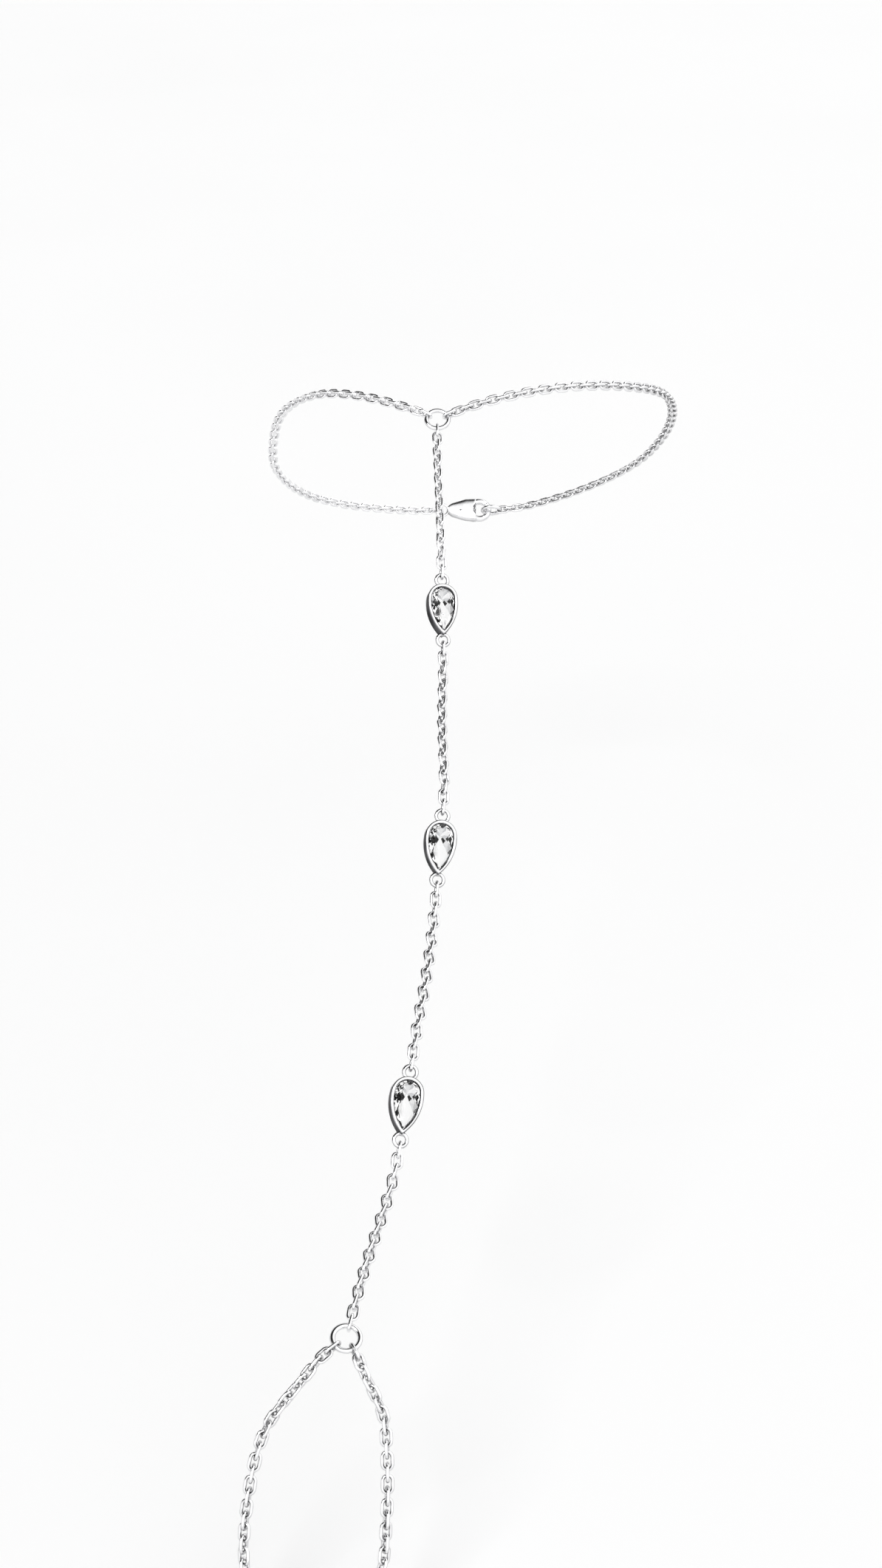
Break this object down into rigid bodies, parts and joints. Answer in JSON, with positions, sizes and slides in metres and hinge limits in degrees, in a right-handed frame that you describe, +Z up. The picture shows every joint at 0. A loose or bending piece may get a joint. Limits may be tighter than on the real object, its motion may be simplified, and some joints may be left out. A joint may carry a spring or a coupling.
{
  "type": "foot chain",
  "caption": "Silver foot chain in its worn form: an anklet with a clasp, a chain down the foot with clear pear-cut stones in plain settings, and a loop of chain for a toe",
  "frame": {"origin": "the middle of the ankle loop, where the leg passes through it", "axes": "X across the foot to the wearer's outer side, Y towards the heel, Z up; the foot stands flat, the leg leans back 46 degrees, and the toes point along -Y"},
  "size_m": [0.0642, 0.1965, 0.0965],
  "materials": {
    "silver": "bright polished silver",
    "stone": "clear, cut and polished"
  },
  "bodies": {
    "root": {"ankle_ring": "silver", "anklet_left": "silver", "anklet_right": "silver", "anklet_back_left": "silver", "anklet_back_right": "silver", "clasp": "silver", "clasp_ring": "silver", "foot_chain_1": "silver", "foot_chain_2": "silver", "foot_chain_3": "silver", "foot_chain_4": "silver", "setting_1": "silver", "setting_2": "silver", "setting_3": "silver", "toe_ring": "silver", "toe_chain_left": "silver", "toe_chain_right": "silver", "stone_1": "stone", "stone_2": "stone", "stone_3": "stone"}
  },
  "joints": []
}
